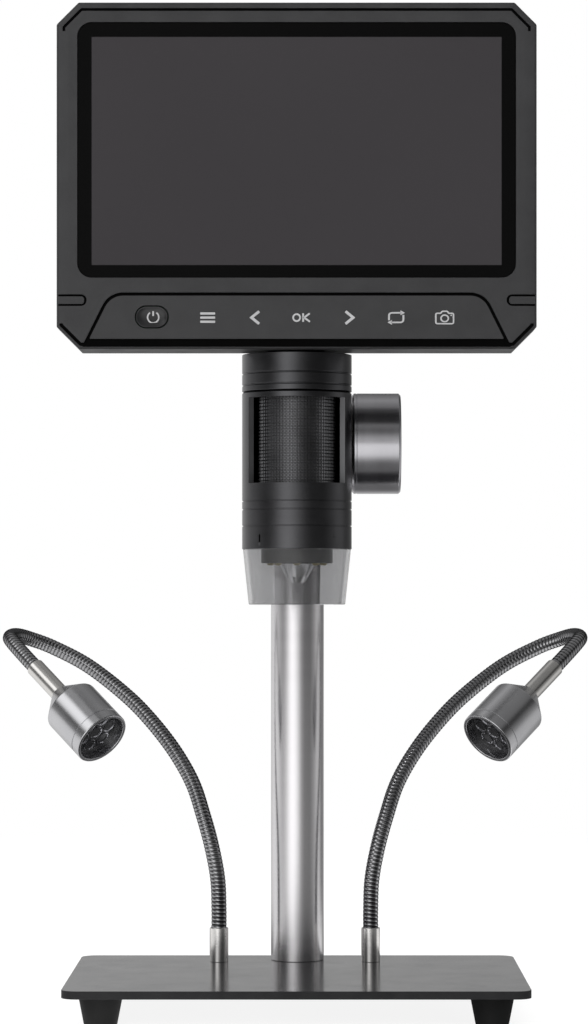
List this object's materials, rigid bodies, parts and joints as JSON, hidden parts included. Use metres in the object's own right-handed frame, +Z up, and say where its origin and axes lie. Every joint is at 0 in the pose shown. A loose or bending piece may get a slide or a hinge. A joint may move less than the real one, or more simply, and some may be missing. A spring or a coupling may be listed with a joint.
{
  "type": "digital microscope",
  "caption": "Desktop microscope with a lens tube that slides and swivels on a post, a tilting display with keys, a focus knob and ring, and bendable lamps on a footed base plate.",
  "frame": {"origin": "centre of the bounding box at floor level, under the feet", "axes": "+Z up along the post, the screen and its keys face -Y, +X to the right as seen from the front"},
  "size_m": [0.2362, 0.1484, 0.3818],
  "materials": {
    "base_paint": "satin grey powder coat",
    "rubber": "matt black rubber",
    "steel": "zinc plated",
    "post_steel": "bright polished steel",
    "socket_steel": "dark nickel",
    "neck_steel": "dark nickel, ribbed",
    "lamp_aluminium": "satin anodised",
    "lamp_lens": "moulded lens plate",
    "circuit_board": "glass fibre board",
    "black_plastic": "moulded",
    "arm_metal": "black anodised",
    "tube_shell": "satin, turned look",
    "ring_metal": "knurled, black anodised",
    "nose_metal": "black anodised",
    "clear_plastic": "clear moulded plastic",
    "bronze": "sintered bronze",
    "knob_aluminium": "satin anodised",
    "white_nylon": "moulded nylon",
    "optical_glass": "polished",
    "case_plastic": "fine matt grey",
    "lcd": "switched off display",
    "cover_glass": "polished, black border",
    "key_film": "printed film",
    "battery_wrap": "foil wrap",
    "port_metal": "tin plated",
    "power_button": "satin",
    "key_plastic": "moulded"
  },
  "bodies": {
    "stand": {"base_plate": "base_paint", "rubber_feet": "rubber", "foot_screws": "steel", "post": "post_steel", "post_screw": "steel", "post_cap": "black_plastic", "left_socket": "socket_steel", "right_socket": "socket_steel", "socket_nuts": "steel", "driver_case": "black_plastic", "driver_inlet": "port_metal", "left_neck_lower": "neck_steel", "right_neck_lower": "neck_steel"},
    "left_arm": {"left_neck_upper": "neck_steel"},
    "right_arm": {"right_neck_upper": "neck_steel"},
    "left_lamp": {"left_lamp_ferrule": "lamp_aluminium", "left_lamp_can": "lamp_aluminium", "left_lamp_board": "circuit_board", "left_lamp_lens": "lamp_lens"},
    "right_lamp": {"right_lamp_ferrule": "lamp_aluminium", "right_lamp_can": "lamp_aluminium", "right_lamp_board": "circuit_board", "right_lamp_lens": "lamp_lens"},
    "sleeve": {"post_sleeve": "black_plastic"},
    "head": {"arm": "arm_metal", "arm_screws": "steel", "tube_body": "tube_shell", "tube_cap": "tube_shell", "hinge_pin": "steel", "light_ring": "black_plastic", "nose_cone": "nose_metal", "clear_shield": "clear_plastic", "shaft_bushes": "bronze"},
    "clamp": {"clamp_screw": "black_plastic"},
    "knob": {"focus_knob": "knob_aluminium", "knob_shaft": "steel", "knob_washer": "white_nylon"},
    "carrier": {"lens_carrier": "black_plastic", "carrier_cap": "black_plastic", "sensor_board": "circuit_board"},
    "ring": {"focus_ring": "ring_metal"},
    "cell": {"lens_cell": "nose_metal", "lens": "optical_glass"},
    "screen": {"front_bezel": "case_plastic", "rear_shell": "case_plastic", "lcd_panel": "lcd", "screen_glass": "cover_glass", "key_film": "key_film", "key_board": "circuit_board", "main_board": "circuit_board", "battery": "battery_wrap", "ports": "port_metal", "case_screws": "steel"},
    "power": {"power_button": "power_button"},
    "menu": {"menu_key": "key_plastic"},
    "left": {"left_key": "key_plastic"},
    "ok": {"ok_key": "key_plastic"},
    "right": {"right_key": "key_plastic"},
    "rotate": {"rotate_key": "key_plastic"},
    "camera": {"camera_key": "key_plastic"}
  },
  "joints": [
    {"name": "left_neck_bend", "type": "hinge", "parent": "stand", "child": "left_arm", "pos_m": [-0.03633, 0.02982, 0.07099], "axis": [0, 1, 0], "range_deg": [-15, 12], "deforming": ["left_neck_lower", "left_neck_upper"]},
    {"name": "right_neck_bend", "type": "hinge", "parent": "stand", "child": "right_arm", "pos_m": [0.03633, 0.02982, 0.07099], "axis": [0, -1, 0], "range_deg": [-15, 12], "deforming": ["right_neck_lower", "right_neck_upper"]},
    {"name": "left_lamp_aim", "type": "hinge", "parent": "left_arm", "child": "left_lamp", "pos_m": [-0.1144, 0.04652, 0.1411], "axis": [1, 0, 0], "range_deg": [-25, 25], "deforming": ["left_neck_upper"]},
    {"name": "right_lamp_aim", "type": "hinge", "parent": "right_arm", "child": "right_lamp", "pos_m": [0.1144, 0.04652, 0.1411], "axis": [1, 0, 0], "range_deg": [-25, 25], "deforming": ["right_neck_upper"]},
    {"name": "height_slide", "type": "slide", "parent": "stand", "child": "sleeve", "axis": [0, 0, 1], "range_m": [-0.095, 0.025]},
    {"name": "head_swivel", "type": "hinge", "parent": "sleeve", "child": "head", "pos_m": [0.001, 0.03112, 0.218], "axis": [0, 0, 1], "range_deg": [-25, 25]},
    {"name": "clamp_turn", "type": "hinge", "parent": "head", "child": "clamp", "pos_m": [0.001, 0.06112, 0.218], "axis": [0, 1, 0], "range_deg": [-180, 180]},
    {"name": "focus_knob", "type": "hinge", "parent": "head", "child": "knob", "pos_m": [0.001, 0.00449, 0.218], "axis": [-1, 0, 0], "range_deg": [-54, 54]},
    {"name": "carrier_slide", "type": "slide", "parent": "head", "child": "carrier", "axis": [0, 0, 1], "range_m": [-0.004, 0.004]},
    {"name": "focus_ring", "type": "hinge", "parent": "carrier", "child": "ring", "pos_m": [0.001, -0.01688, 0.218], "axis": [0, 0, 1], "range_deg": [-120, 120]},
    {"name": "cell_slide", "type": "slide", "parent": "carrier", "child": "cell", "axis": [0, 0, 1], "range_m": [-0.0021, 0.0021]},
    {"name": "screen_tilt", "type": "hinge", "parent": "head", "child": "screen", "pos_m": [0.001, -0.01087, 0.2583], "axis": [-1, 0, 0], "range_deg": [0, 60]},
    {"name": "power_press", "type": "slide", "parent": "screen", "child": "power", "axis": [0, 1, 0], "range_m": [0, 0.0005], "stiffness_N_per_m": 1500, "springref_m": -0.0002},
    {"name": "menu_press", "type": "slide", "parent": "screen", "child": "menu", "axis": [0, 1, 0], "range_m": [0, 0.0003], "stiffness_N_per_m": 2000, "springref_m": -0.0002},
    {"name": "left_press", "type": "slide", "parent": "screen", "child": "left", "axis": [0, 1, 0], "range_m": [0, 0.0003], "stiffness_N_per_m": 2000, "springref_m": -0.0002},
    {"name": "ok_press", "type": "slide", "parent": "screen", "child": "ok", "axis": [0, 1, 0], "range_m": [0, 0.0003], "stiffness_N_per_m": 2000, "springref_m": -0.0002},
    {"name": "right_press", "type": "slide", "parent": "screen", "child": "right", "axis": [0, 1, 0], "range_m": [0, 0.0003], "stiffness_N_per_m": 2000, "springref_m": -0.0002},
    {"name": "rotate_press", "type": "slide", "parent": "screen", "child": "rotate", "axis": [0, 1, 0], "range_m": [0, 0.0003], "stiffness_N_per_m": 2000, "springref_m": -0.0002},
    {"name": "camera_press", "type": "slide", "parent": "screen", "child": "camera", "axis": [0, 1, 0], "range_m": [0, 0.0003], "stiffness_N_per_m": 2000, "springref_m": -0.0002}
  ],
  "couplings": [
    {"joint": "carrier_slide", "follows": "focus_knob", "m_per_rad": 0.0042},
    {"joint": "cell_slide", "follows": "focus_ring", "m_per_rad": 0.00095}
  ]
}
